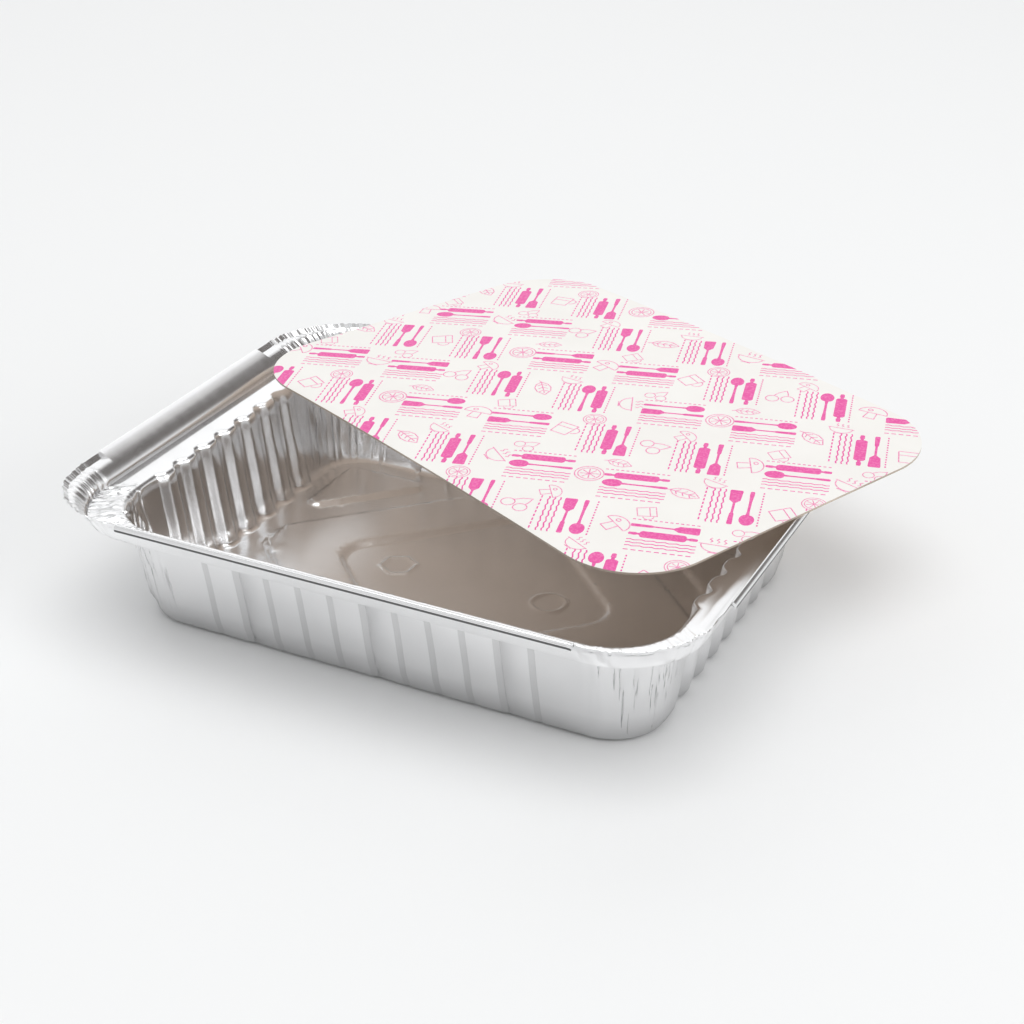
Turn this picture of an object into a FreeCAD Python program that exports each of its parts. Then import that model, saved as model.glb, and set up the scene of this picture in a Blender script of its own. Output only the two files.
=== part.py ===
import FreeCAD, Part
import Sketcher
import math
import os

# Driving dimensions, in millimetres and degrees.
# The tray stands on its base, its long front side faces -Y and its length runs along X.
dimensions = [
    ("rim_height", 40.0, "base to the top of the rolled rim"),
    ("flange_height", 7.0, "flat shelf to the top of the rolled rim"),
    ("foil_thickness", 0.3, "foil, modelled thicker than it is"),
    ("base_half_length", 76.3, "base outline, half the length"),
    ("base_half_width", 55.7, "base outline, half the width"),
    ("base_corner", 15.0, "base outline, corner radius"),
    ("foot_inset", 1.4, "bend between base and wall, seen in plan"),
    ("foot_rise", 1.6, "bend between base and wall, seen from the side"),
    ("flare_length", 4.3, "outward lean of the short walls, foot to shelf"),
    ("flare_width", 6.5, "outward lean of the long walls, foot to shelf"),
    ("flare_corner", 3.5, "growth of the corner radius, foot to shelf"),
    ("shelf_length", 7.9, "width of the shelf on the short sides"),
    ("shelf_width", 8.3, "width of the shelf on the long sides"),
    ("shelf_growth", 3.5, "growth of the corner radius across the shelf"),
    ("lean_front", 3.2, "outward lean of the upright flange, front side"),
    ("lean_right", 2.9, "outward lean of the upright flange, right side"),
    ("lean_back", 3.2, "outward lean of the upright flange, back side"),
    ("lean_left", 7.6, "outward lean of the upright flange, left side"),
    ("flange_hollow", 0.35, "share of the lean that the flange has halfway up"),
    ("left_drop", 0.7, "how much lower the splayed left rim ends"),
    ("hem_height", 1.9, "height of the rolled hem"),
    ("hem_depth", 0.8, "how far the hem stands out from the flange"),
    ("hem_half_length", 65.0, "hem on the long sides, half its length"),
    ("hem_half_width", 40.0, "hem on the short sides, half its length"),
    ("long_rib_count", 11, "grooves in each long wall"),
    ("long_rib_pitch", 9.55, "long walls, groove to groove"),
    ("long_rib_width", 2.6, "long walls, width of a groove"),
    ("long_rib_depth", 1.1, "long walls, depth of a groove"),
    ("short_rib_count", 7, "grooves in each short wall"),
    ("short_rib_pitch", 10.3, "short walls, groove to groove"),
    ("short_rib_width", 6.8, "short walls, width of a groove"),
    ("short_rib_depth", 2.0, "short walls, depth of a groove"),
    ("crease_count", 11, "gathered creases in each corner"),
    ("crease_depth", 0.55, "half depth of the gathered creases at the walls"),
    ("pleat_depth", 0.6, "half depth of the pleats in the flange corners"),
    ("wrinkle_height", 0.35, "rise of the wrinkles across the shelf corners"),
    ("ragged_depth", 0.7, "deepest dip in the uneven corner edges"),
    ("press_height", 1.0, "rise of the pressed panels in the base"),
    ("press_slope", 0.9, "width of the sloping edge of a pressed panel"),
    ("octagon_end_gap", 9.3, "large pressed panel to the base outline, at the ends"),
    ("octagon_side_gap", 7.7, "large pressed panel to the base outline, at the sides"),
    ("slant_start", 0.373, "large pressed panel, share of its half length before the slanted side"),
    ("slant_end", 0.125, "large pressed panel, share of its half width after the slanted side"),
    ("octagon_corner", 4.0, "large pressed panel, corner radius"),
    ("diamond_end_gap", 21.0, "large panel's end to the point of the sunken diamond"),
    ("diamond_side_gap", 2.0, "large panel's side to the point of the sunken diamond"),
    ("diamond_corner", 8.0, "sunken diamond, corner radius"),
    ("triangle_end_gap", 7.3, "corner panels to the base outline, at the ends"),
    ("triangle_side_gap", 6.7, "corner panels to the base outline, at the sides"),
    ("channel_width", 8.1, "channel between the large panel and a corner panel"),
    ("triangle_corner", 3.5, "corner panels, corner radius"),
    ("mark_height", 0.35, "rise of the two plain marks in the diamond"),
    ("mark_radius", 5.5, "outer radius of the plain marks"),
    ("mark_band", 1.6, "width of the raised line of a mark"),
    ("mark_spacing", 48.0, "mark to mark along X"),
    ("lid_length", 175.2, "card lid, length"),
    ("lid_width", 122.5, "card lid, width"),
    ("lid_corner", 23.6, "card lid, corner radius"),
    ("lid_thickness", 0.6, "card lid, thickness"),
    ("lid_bend_radius", 2268.0, "card lid, radius of its slight arch"),
    ("lid_bend_turn", -16.8, "card lid, turn of the arch from the long axis"),
    ("lid_blank_height", 24.0, "upright blank that the arched card is cut from"),
    ("lid_right", 13.05, "card lid, centre along X"),
    ("lid_rearward", 46.15, "card lid, centre along Y"),
    ("lid_turn", -24.8, "card lid, turn about the vertical"),
    ("lid_tilt", 1.09, "card lid, tilt about its long axis, back side up"),
    ("lid_rest_gap", 0.02, "clearance where the card rests on the rim"),
]

# Shares of a groove, crease or pleat that reach each level of the foil.
groove_floor_share = 0.55
hem_start_share = 0.93
foot_crease_share = 0.6
shelf_crease_share = 1.3
ragged_pattern = (0.0, 0.7, 0.25, 1.0, 0.4, 0.85, 0.1, 0.55, 0.3, 0.95, 0.2)
wrinkle_pattern = (1.0, -0.4, 0.7, -1.0, 0.3, -0.7, 0.9)
corner_steps = 4
mark_steps = 20
second_mark_steps = 6
crest_levels = slice(8, 10)
crest_samples = 24
flat_tolerance = 1e-6


def fill_sheet(document):
    sheet = document.addObject("Spreadsheet::Sheet", "sizes")
    for row, (name, value, note) in enumerate(dimensions, start=1):
        sheet.set("A%d" % row, note)
        sheet.set("B%d" % row, str(value))
        sheet.setAlias("B%d" % row, name)
    document.recompute()
    return sheet


# Outlines of the foil in plan, as half the length, half the width and the corner radius.
def foil_outlines(size):
    foot = (size.base_half_length, size.base_half_width, size.base_corner)
    sole = tuple(value - size.foot_inset for value in foot)
    mouth = (foot[0] + size.flare_length, foot[1] + size.flare_width, foot[2] + size.flare_corner)
    shelf = (mouth[0] + size.shelf_length, mouth[1] + size.shelf_width, mouth[2] + size.shelf_growth)
    return sole, foot, mouth, shelf


# A station is one place around the tray, met at every level of the foil.
def station(turn, across, along, fixed=None, share=None, groove=0.0, crease=0.0, hem=0.0, drop=0.0, wrinkle=0.0):
    return {
        "turn": turn,
        "across": across,
        "along": along,
        "fixed": fixed,
        "share": share,
        "groove": groove,
        "crease": crease,
        "hem": hem,
        "drop": drop,
        "wrinkle": wrinkle,
    }


def groove_edges(count, pitch, width):
    edges = []
    floor = width * groove_floor_share
    first = -pitch * (count - 1) / 2
    for number in range(int(count)):
        middle = first + pitch * number
        edges.append((middle - width / 2, 0.0))
        edges.append((middle - floor / 2, 1.0))
        edges.append((middle + floor / 2, 1.0))
        edges.append((middle + width / 2, 0.0))
    return edges


def side_stations(turn, across, along, edges, hem_end, depth):
    outermost = edges[-1][0]
    hem_start = hem_end * hem_start_share
    places = [station(turn, across, along, -outermost, hem_end)]
    places.append(station(turn, across, along, -outermost, hem_start, hem=1.0))
    for position, groove in edges:
        places.append(station(turn, across, along, position, groove=groove * depth, hem=1.0))
    places.append(station(turn, across, along, outermost, hem_start, hem=1.0))
    places.append(station(turn, across, along, outermost, hem_end))
    return places


def corner_stations(start_turn, across, along, count, first):
    places = []
    steps = 2 * int(count)
    for step in range(steps + 1):
        turn = start_turn + 90.0 * step / steps
        inside = 0 < step < steps
        crease = (1.0 if step % 2 else -1.0) if inside else 0.0
        drop = ragged_pattern[(step + first) % len(ragged_pattern)] if inside else 0.0
        wrinkle = wrinkle_pattern[(step + first) % len(wrinkle_pattern)] if inside else 0.0
        places.append(station(turn, across, along, crease=crease, drop=drop, wrinkle=wrinkle))
    return places


def all_stations(size):
    long_edges = groove_edges(size.long_rib_count, size.long_rib_pitch, size.long_rib_width)
    short_edges = groove_edges(size.short_rib_count, size.short_rib_pitch, size.short_rib_width)
    shelf = foil_outlines(size)[-1]
    long_share = hem_share(size.hem_half_length, long_edges, shelf[0] - shelf[2])
    short_share = hem_share(size.hem_half_width, short_edges, shelf[1] - shelf[2])
    long_back = [(-position, groove) for position, groove in reversed(long_edges)]
    places = side_stations(-90.0, 0, -1, long_edges, long_share, size.long_rib_depth)
    places += corner_stations(-90.0, 1, -1, size.crease_count, 0)
    places += side_stations(0.0, 1, 0, short_edges, short_share, size.short_rib_depth)
    places += corner_stations(0.0, 1, 1, size.crease_count, 3)
    back = side_stations(90.0, 0, 1, long_back, long_share, size.long_rib_depth)
    places += list(reversed(back))
    places += corner_stations(90.0, -1, 1, size.crease_count, 5)
    left = side_stations(180.0, -1, 0, short_edges, short_share, size.short_rib_depth)
    places += list(reversed(left))
    places += corner_stations(180.0, -1, -1, size.crease_count, 8)
    return places


# How far along the plain end of a side the hem stops, from 0 at the last groove to 1 at the corner.
def hem_share(hem_half, edges, straight_half):
    outermost = edges[-1][0]
    share = (hem_half - outermost) / (straight_half - outermost)
    return min(max(share, 0.1), 0.95)


def plan_point(place, half_length, half_width, corner):
    turn = math.radians(place["turn"])
    end_across = half_length - corner
    end_along = half_width - corner
    across = place["across"] * end_across + corner * math.cos(turn)
    along = place["along"] * end_along + corner * math.sin(turn)
    if place["fixed"] is None:
        return across, along
    held = place["fixed"]
    straight_end = end_along if place["across"] else end_across
    if place["share"] is not None:
        held = math.copysign(abs(held) + place["share"] * (straight_end - abs(held)), held)
    return (across, held) if place["across"] else (held, along)


def ring(places, outline, height, groove_share, crease_depth, lean=None, hem_depth=0.0, drop=0.0, wrinkle=0.0):
    points = []
    for place in places:
        across, along = plan_point(place, *outline)
        turn = math.radians(place["turn"])
        outward = place["crease"] * crease_depth - place["groove"] * groove_share + place["hem"] * hem_depth
        rise = place["wrinkle"] * wrinkle - place["drop"] * drop
        away_across = math.cos(turn)
        away_along = math.sin(turn)
        if lean:
            share, leans, left_drop = lean
            across += away_across * share * (leans["right"] if away_across > 0 else leans["left"])
            along += away_along * share * (leans["back"] if away_along > 0 else leans["front"])
            rise -= left_drop * share * max(0.0, -away_across)
        points.append(FreeCAD.Vector(across + away_across * outward, along + away_along * outward, height + rise))
    return points


# The same ring moved one foil thickness towards the inside of the tray.
def inner_ring(points, thickness, rise):
    moved = []
    count = len(points)
    for number in range(count):
        before = points[number] - points[number - 1]
        after = points[(number + 1) % count] - points[number]
        first = FreeCAD.Vector(-before.y, before.x, 0).normalize()
        second = FreeCAD.Vector(-after.y, after.x, 0).normalize()
        shift = (first + second) * (thickness / (1 + first.dot(second)))
        moved.append(points[number] + shift + FreeCAD.Vector(0, 0, rise))
    return moved


def polygon_face(points):
    return Part.Face(Part.makePolygon(points + [points[0]]))


def patch(first, second, third, fourth):
    normal = (second - first).cross(third - first)
    normal.normalize()
    if abs((fourth - first).dot(normal)) < flat_tolerance:
        return [polygon_face([first, second, third, fourth])]
    return [polygon_face([first, second, third]), polygon_face([first, third, fourth])]


def band(lower, upper):
    faces = []
    count = len(lower)
    for number in range(count):
        following = (number + 1) % count
        faces += patch(lower[number], lower[following], upper[following], upper[number])
    return faces


def plate(outline, holes):
    wires = [Part.makePolygon(points + [points[0]]) for points in [outline] + holes]
    return [Part.makeFace(wires, "Part::FaceMakerBullseye")]


# A closed outline with rounded corners, moved inwards by a given distance, at a given height.
def rounded_outline(corners, radius, inset, height):
    points = []
    count = len(corners)
    for number in range(count):
        here = FreeCAD.Vector(corners[number][0], corners[number][1], 0)
        before = (FreeCAD.Vector(*corners[number - 1], 0) - here).normalize()
        after = (FreeCAD.Vector(*corners[(number + 1) % count], 0) - here).normalize()
        middle = (before + after).normalize()
        half_angle = math.acos(max(-1.0, min(1.0, before.dot(after)))) / 2
        centre = here + middle * (radius / math.sin(half_angle))
        first = centre + (before * (radius / math.tan(half_angle)) + here - centre).normalize() * (radius - inset)
        last = centre + (after * (radius / math.tan(half_angle)) + here - centre).normalize() * (radius - inset)
        sweep = math.pi - 2 * half_angle
        for step in range(corner_steps + 1):
            turn = sweep * step / corner_steps
            arm = FreeCAD.Rotation(FreeCAD.Vector(0, 0, 1), math.degrees(turn)).multVec(first - centre)
            spot = last if step == corner_steps else centre + arm
            points.append(FreeCAD.Vector(spot.x, spot.y, height))
    return points


def octagon_corners(half_length, half_width, near, far):
    return [
        (near, -half_width), (half_length, -far), (half_length, far), (near, half_width),
        (-near, half_width), (-half_length, far), (-half_length, -far), (-near, -half_width),
    ]


def diamond_corners(half_length, half_width):
    return [(0, -half_width), (half_length, 0), (0, half_width), (-half_length, 0)]


# A corner panel's slanted side runs beside the large panel's, one channel further out.
def triangle_corners(size, panel, across, along):
    half_length, half_width, near, far = panel
    end = size.base_half_length - size.triangle_end_gap
    side = size.base_half_width - size.triangle_side_gap
    slant = FreeCAD.Vector(half_width - far, half_length - near, 0).normalize()
    distance = slant.dot(FreeCAD.Vector(near, half_width, 0)) + size.channel_width
    corners = [
        (across * (distance - slant.y * side) / slant.x, along * side),
        (across * end, along * side),
        (across * end, along * (distance - slant.x * end) / slant.y),
    ]
    return corners if across * along < 0 else corners[::-1]


def round_outline(centre_across, radius, steps, height):
    points = []
    for step in range(steps):
        turn = 2 * math.pi * step / steps
        points.append(FreeCAD.Vector(centre_across + radius * math.cos(turn), radius * math.sin(turn), height))
    return points


def mark_faces(size, centre_across, steps, lift):
    slope = size.mark_height
    outer = size.mark_radius
    inner = size.mark_radius - size.mark_band
    low_outer = round_outline(centre_across, outer, steps, lift)
    high_outer = round_outline(centre_across, outer - slope, steps, lift + size.mark_height)
    high_inner = round_outline(centre_across, inner + slope, steps, lift + size.mark_height)
    low_inner = round_outline(centre_across, inner, steps, lift)
    faces = band(low_outer, high_outer) + plate(high_outer, [high_inner])
    faces += band(high_inner, low_inner) + plate(low_inner, [])
    return low_outer, faces


# One side of the pressed base: the flat border, the raised panels and the sunken diamond.
def base_faces(size, border, lift):
    top = lift + size.press_height
    slope = size.press_slope
    half_length = size.base_half_length - size.octagon_end_gap
    half_width = size.base_half_width - size.octagon_side_gap
    panel = (half_length, half_width, half_length * size.slant_start, half_width * size.slant_end)
    octagon = octagon_corners(*panel)
    low_octagon = rounded_outline(octagon, size.octagon_corner, 0, lift)
    high_octagon = rounded_outline(octagon, size.octagon_corner, slope, top)
    diamond = diamond_corners(half_length - size.diamond_end_gap, half_width - size.diamond_side_gap)
    high_diamond = rounded_outline(diamond, size.diamond_corner, 0, top)
    low_diamond = rounded_outline(diamond, size.diamond_corner, slope, lift)
    faces = band(low_octagon, high_octagon) + plate(high_octagon, [high_diamond])
    faces += band(high_diamond, low_diamond)
    marks = []
    for side, steps in ((1, mark_steps), (-1, second_mark_steps)):
        outline, pressed = mark_faces(size, side * size.mark_spacing / 2, steps, lift)
        marks.append(outline)
        faces += pressed
    faces += plate(low_diamond, marks)
    holes = [low_octagon]
    for across in (-1, 1):
        for along in (-1, 1):
            corners = triangle_corners(size, panel, across, along)
            low = rounded_outline(corners, size.triangle_corner, 0, lift)
            high = rounded_outline(corners, size.triangle_corner, slope, top)
            faces += band(low, high) + plate(high, [])
            holes.append(low)
    return faces + plate(border, holes)


# The levels of the foil, from the base up the outside, over the rim and down the inside.
def foil_rings(size, places):
    foil = size.foil_thickness
    leans = {"front": size.lean_front, "right": size.lean_right, "back": size.lean_back, "left": size.lean_left}
    leaning = (1.0, leans, size.left_drop)
    halfway = (size.flange_hollow, leans, size.left_drop)
    under_hem = 1.0 - size.hem_height / size.flange_height
    shelf_height = size.rim_height - size.flange_height
    sole, foot, mouth, shelf = foil_outlines(size)
    creases = size.crease_depth
    pleats = size.pleat_depth
    top = size.rim_height
    ragged = size.ragged_depth

    sole_ring = ring(places, sole, 0.0, 0.5, creases * foot_crease_share)
    foot_ring = ring(places, foot, size.foot_rise, 1.0, creases * foot_crease_share)
    mouth_ring = ring(places, mouth, shelf_height - foil, 1.0, creases)
    shelf_ring = ring(places, shelf, shelf_height - foil, 0.0, creases * shelf_crease_share,
                      wrinkle=size.wrinkle_height)
    waist_ring = ring(places, shelf, shelf_height + size.flange_height / 2, 0.0, pleats, halfway,
                      drop=ragged / 2)
    neck_ring = ring(places, shelf, top - size.hem_height, 0.0, pleats, (under_hem, leans, size.left_drop),
                     drop=ragged * under_hem)
    hem_low = ring(places, shelf, top - size.hem_height * 0.85, 0.0, pleats, leaning,
                   hem_depth=size.hem_depth, drop=ragged * 0.9)
    hem_high = ring(places, shelf, top - size.hem_height * 0.25, 0.0, pleats, leaning,
                    hem_depth=size.hem_depth, drop=ragged)
    crest_ring = ring(places, shelf, top, 0.0, pleats, leaning, hem_depth=size.hem_depth * 0.4, drop=ragged)
    outside = [sole_ring, foot_ring, mouth_ring, shelf_ring, waist_ring, neck_ring, hem_low, hem_high, crest_ring]

    crest_line = ring(places, shelf, top, 0.0, pleats, leaning, drop=ragged)
    inside = [
        inner_ring(crest_line, foil, 0.0),
        inner_ring(waist_ring, foil, 0.0),
        inner_ring(shelf_ring, foil, foil),
        inner_ring(mouth_ring, foil, foil),
        inner_ring(foot_ring, foil, 0.0),
        inner_ring(sole_ring, foil, foil),
    ]
    return outside + inside


def foil_solid(size):
    rings = foil_rings(size, all_stations(size))
    faces = base_faces(size, rings[0], 0.0) + base_faces(size, rings[-1], size.foil_thickness)
    for lower, upper in zip(rings, rings[1:]):
        faces += band(lower, upper)
    shell = Part.makeShell(faces)
    shell.sewShape()
    solid = Part.Solid(shell)
    if solid.Volume < 0:
        solid.reverse()
    return solid


def make_tray(document, size):
    tray = document.addObject("Part::Feature", "tray")
    tray.Shape = foil_solid(size)
    tray.Placement = FreeCAD.Placement()
    tray.Label = "tray"
    return tray


def draw_lid_outline(sketch, size):
    half_length = size.lid_length / 2
    half_width = size.lid_width / 2
    corner = size.lid_corner
    end_across = half_length - corner
    end_along = half_width - corner
    level = FreeCAD.Vector(0, 0, 1)
    lines = [
        ((-end_across, -half_width), (end_across, -half_width)),
        ((half_length, -end_along), (half_length, end_along)),
        ((end_across, half_width), (-end_across, half_width)),
        ((-half_length, end_along), (-half_length, -end_along)),
    ]
    centres = [(end_across, -end_along), (end_across, end_along), (-end_across, end_along), (-end_across, -end_along)]
    for start, end in lines:
        sketch.addGeometry(Part.LineSegment(FreeCAD.Vector(*start, 0), FreeCAD.Vector(*end, 0)))
    for number, centre in enumerate(centres):
        circle = Part.Circle(FreeCAD.Vector(*centre, 0), level, corner)
        start_turn = math.radians(90 * number - 90)
        sketch.addGeometry(Part.ArcOfCircle(circle, start_turn, start_turn + math.pi / 2))
    for number in range(4):
        sketch.addConstraint(Sketcher.Constraint("Tangent", number, 2, number + 4, 1))
        sketch.addConstraint(Sketcher.Constraint("Tangent", number + 4, 2, (number + 1) % 4, 1))
    for number, direction in enumerate(("Horizontal", "Vertical", "Horizontal", "Vertical")):
        sketch.addConstraint(Sketcher.Constraint(direction, number))
    for number in (5, 6, 7):
        sketch.addConstraint(Sketcher.Constraint("Equal", 4, number))
    sketch.addConstraint(Sketcher.Constraint("Symmetric", 4, 3, 6, 3, -1, 1))
    bind_constraint(sketch, Sketcher.Constraint("DistanceX", 3, 1, 1, 1, size.lid_length), "lid_length")
    bind_constraint(sketch, Sketcher.Constraint("DistanceY", 0, 1, 2, 2, size.lid_width), "lid_width")
    bind_constraint(sketch, Sketcher.Constraint("Radius", 4, corner), "lid_corner")


def bind_constraint(sketch, constraint, name):
    index = sketch.addConstraint(constraint)
    sketch.renameConstraint(index, name)
    sketch.setExpression("Constraints." + name, "sizes." + name)


# The card's underside above its own level centre, for a place on the card.
def arch_height(size, along, across):
    turn = math.radians(size.lid_bend_turn)
    offset = along * math.cos(turn) + across * math.sin(turn)
    radius = size.lid_bend_radius
    return math.sqrt(radius * radius - offset * offset) - radius + across * math.tan(math.radians(size.lid_tilt))


# The height of the card's centre at which its underside just meets one point, if it covers it.
def needed_height(size, point):
    turn = math.radians(-size.lid_turn)
    right = point.x - size.lid_right
    rearward = point.y - size.lid_rearward
    along = right * math.cos(turn) - rearward * math.sin(turn)
    across = right * math.sin(turn) + rearward * math.cos(turn)
    if abs(along) > size.lid_length / 2 or abs(across) > size.lid_width / 2:
        return 0.0
    return point.z - arch_height(size, along, across)


# The height of the card's centre at which its underside comes down onto the rim.
def lid_seat(size):
    seat = 0.0
    for crest in foil_rings(size, all_stations(size))[crest_levels]:
        for number, point in enumerate(crest):
            reach = point - crest[number - 1]
            for step in range(crest_samples):
                seat = max(seat, needed_height(size, crest[number - 1] + reach * (step / crest_samples)))
    return seat + size.lid_rest_gap


def bend_cylinder(document, name, radius):
    cylinder = document.addObject("Part::Cylinder", name)
    cylinder.setExpression("Radius", radius)
    cylinder.setExpression("Height", "2 * sizes.lid_length")
    return cylinder


def make_lid(document, size):
    blank = document.addObject("PartDesign::Body", "lid_blank")
    outline = blank.newObject("Sketcher::SketchObject", "lid_outline")
    draw_lid_outline(outline, size)
    pad = blank.newObject("PartDesign::Pad", "lid_pad")
    pad.Profile = outline
    pad.SideType = "Symmetric"
    pad.setExpression("Length", "sizes.lid_blank_height")

    upper = bend_cylinder(document, "lid_arch_top", "sizes.lid_bend_radius + sizes.lid_thickness")
    lower = bend_cylinder(document, "lid_arch_under", "sizes.lid_bend_radius")
    lying = FreeCAD.Rotation(FreeCAD.Vector(0, 0, 1), size.lid_bend_turn) * FreeCAD.Rotation(
        FreeCAD.Vector(1, 0, 0), 90)
    middle = lying.multVec(FreeCAD.Vector(0, 0, -size.lid_length))
    for cylinder in (upper, lower):
        cylinder.Placement = FreeCAD.Placement(middle + FreeCAD.Vector(0, 0, -size.lid_bend_radius), lying)
    sheet = document.addObject("Part::Cut", "lid_sheet")
    sheet.Base = upper
    sheet.Tool = lower
    lid = document.addObject("Part::Common", "lid")
    lid.Base = blank
    lid.Tool = sheet
    document.recompute()
    turn = FreeCAD.Rotation(FreeCAD.Vector(0, 0, 1), size.lid_turn)
    tilt = FreeCAD.Rotation(FreeCAD.Vector(1, 0, 0), size.lid_tilt)
    lid.Placement = FreeCAD.Placement(FreeCAD.Vector(size.lid_right, size.lid_rearward, lid_seat(size)), turn * tilt)
    lid.Label = "lid"
    return lid


def check(document):
    for item in document.Objects:
        if "Invalid" in item.State or "Error" in item.State:
            raise RuntimeError("not built: " + item.Label)


def write_parts(parts):
    os.makedirs("parts", exist_ok=True)
    for item in parts:
        if item.Shape.isNull() or not item.Shape.isValid():
            raise RuntimeError("bad shape: " + item.Label)
        item.Shape.exportStep("parts/" + item.Label + ".step")
        print(item.Label, len(item.Shape.Solids), len(item.Shape.Faces), round(item.Shape.Volume, 1))


def main():
    document = FreeCAD.newDocument("food_tray")
    size = fill_sheet(document)
    parts = [make_tray(document, size), make_lid(document, size)]
    document.recompute()
    check(document)
    write_parts(parts)


main()
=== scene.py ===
import bpy
import bmesh
import math
import numpy as np
from mathutils import Matrix, Vector, geometry


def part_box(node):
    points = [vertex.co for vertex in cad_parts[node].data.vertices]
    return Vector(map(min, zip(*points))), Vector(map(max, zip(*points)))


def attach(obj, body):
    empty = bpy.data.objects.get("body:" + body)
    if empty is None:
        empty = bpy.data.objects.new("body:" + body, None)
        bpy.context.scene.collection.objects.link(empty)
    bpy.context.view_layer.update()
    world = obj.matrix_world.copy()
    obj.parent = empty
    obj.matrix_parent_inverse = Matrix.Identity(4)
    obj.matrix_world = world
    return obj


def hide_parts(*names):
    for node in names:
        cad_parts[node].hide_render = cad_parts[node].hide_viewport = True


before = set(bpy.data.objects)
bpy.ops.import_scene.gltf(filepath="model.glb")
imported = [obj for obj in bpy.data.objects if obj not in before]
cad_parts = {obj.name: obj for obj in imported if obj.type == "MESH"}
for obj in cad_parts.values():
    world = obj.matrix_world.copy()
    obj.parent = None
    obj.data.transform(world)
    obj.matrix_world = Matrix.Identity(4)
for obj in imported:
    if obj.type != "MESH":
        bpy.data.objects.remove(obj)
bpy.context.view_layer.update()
mm = 0.001
print("frame loaded")


def smooth(low, high, value):  # 0 below low, 1 above high, rounded between
    share = np.clip((value - low) / (high - low), 0.0, 1.0)
    return share * share * (3 - 2 * share)


def waves(first, second, scale, seed):  # seeded sum of sines, about -1 to 1
    rng = np.random.default_rng(seed)
    count = 9
    total = 0.0
    for _ in range(count):
        heading = rng.uniform(0, 2 * math.pi)
        pace = rng.uniform(0.55, 1.6) * 2 * math.pi / scale
        phase = rng.uniform(0, 6.28)
        total = total + np.sin(first * pace * math.cos(heading) + second * pace * math.sin(heading) + phase)
    return total / math.sqrt(count)


def crumple(along, pitch, seed):  # irregular folds side by side, -1 to 1
    rng = np.random.default_rng(seed)
    span = float(along.max() - along.min()) + 8 * pitch
    widths = rng.uniform(0.45, 1.55, int(span / pitch) + 12)
    edges = np.cumsum(widths) * pitch + float(along.min()) - 4 * pitch
    heights = rng.uniform(0.35, 1.0, len(edges)) * np.where(np.arange(len(edges)) % 2, 1, -1)
    place = along + 0.35 * pitch * waves(along, 0, 9.0, seed + 1)
    return np.interp(place, edges, heights)


# foil tray, in millimetres: one pressed sheet with its base, walls, shelf, flange and rolled hems
tray = {
    "base": (76.3, 55.7, 15.0),                # half length, half width, corner radius
    "mouth": (80.6, 62.2, 18.5),
    "shelf": (88.5, 70.5, 22.0),
    "rimHeight": 40.0,
    "shelfHeight": 33.0,
    "lean": (3.2, 2.9, 3.2, 7.6),              # how far the flange leans out at the front, right, back and left
    "leftDrop": 0.7,                           # the splayed left flange is this much lower
    "longRibs": (11, 9.55, 0.75, 1.0, 0.75),   # count, pitch, half width inside and outside, depth
    "shortRibs": (7, 10.3, 1.2, 4.6, 2.0),
    "ribEnd": (50.5, 35.0),                    # the plain end of a long and a short side starts here
    "ribSteps": (0.15, 0.3, 0.45, 0.6, 0.75, 0.9, 1.03),   # places of points across a groove's slope
    "plainStep": 2.4,                          # distance of points between the grooves and the corners
    "closest": 0.15,                           # points along a side are at least this far apart
    "hemEnd": (65.0, 40.0),                    # half length of the hem on a long and a short side
    "hemRoll": ((0.0, -1.95), (0.0, -0.3), (0.16, 0.01), (0.4, 0.09), (0.9, 0.06), (1.32, -0.12), (1.6, -0.4),
                (1.8, -1.05), (1.65, -1.25), (1.3, -1.3), (0.8, -1.2)),   # section of the hem, outwards and up
    "foil": 0.12,
    "footRadius": 3.0,
    "shoulderRadius": 1.3,
    "wallShares": (0.1, 0.26, 0.42, 0.54, 0.66, 0.78, 0.89, 1.0),   # rings of points up the wall
    "shelfShares": (0.28, 0.46, 0.62, 0.78, 1.0),
    "beadAt": 0.62,                            # the bead's share of the shelf's width
    "flangeShares": (0.12, 0.27, 0.42, 0.57, 0.72),
    "cornerSteps": 150,
    "creases": 12,                             # folds in each corner
    "creaseRadius": 20.0,
    "creaseArc": 31.4,
    "crumpled": (1.0, 0.35),                   # how crumpled the left and the right corners are
    "wallWaves": (0.10, 0.3, 0.3),             # depth of broad, middling and fine waves in the wall
    "shelfFolds": (0.42, 0.25),                # height of fine and broad folds of the shelf's corners
    "pleats": (0.12, 0.16, 0.22, 0.5),         # fine, more of them at the left, broad, and gathered in
    "cutEdge": (0.14, 0.16, 0.55, 1.15),       # fine and broad raggedness, drop and depth of the plain edge
    # the third finish is painted shade for the long grooves, the fourth a painted shadow under the hem's roll
    "finishes": ("innerFoil", "outerFoil", "paintedGrooveShadeFoil", "paintedHemShadowFoil"),
    "paintedGrooveShadeZone": (52.0, 0.7, 32.3),          # where the groove shade is painted: least distance from the middle, lowest and highest point
    "smoothAngle": 50,
}


def sideGrid(half, ribs, hemEnd):  # spots along one straight side, close together at the grooves
    count, pitch, crest, foot, _ = ribs
    fill = tray["plainStep"]
    offsets = [0.0, crest * 0.9] + [crest + step * (foot - crest) for step in tray["ribSteps"]]
    spots = [-hemEnd, -hemEnd - 0.06, hemEnd, hemEnd + 0.06]  # the hem ends in a short cut
    for number in range(count):
        middle = pitch * (number - (count - 1) / 2)
        for offset in offsets:
            spots += [middle - offset, middle + offset]
    outer = pitch * (count - 1) / 2 + foot
    spots += list(np.arange(-outer - fill, -half, -fill)) + list(np.arange(outer + fill, half, fill))
    spots += list(np.arange(-half + 0.4, -half + 4, 0.8)) + list(np.arange(half - 0.4, half - 4, -0.8))
    spots = np.unique(np.round([s for s in spots if -half < s < half], 3))
    keep = [spots[0]]
    for spot in spots[1:]:
        if spot - keep[-1] > tray["closest"] or abs(abs(spot) - hemEnd) < 0.1:
            keep.append(spot)
    return np.array(keep)


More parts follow.
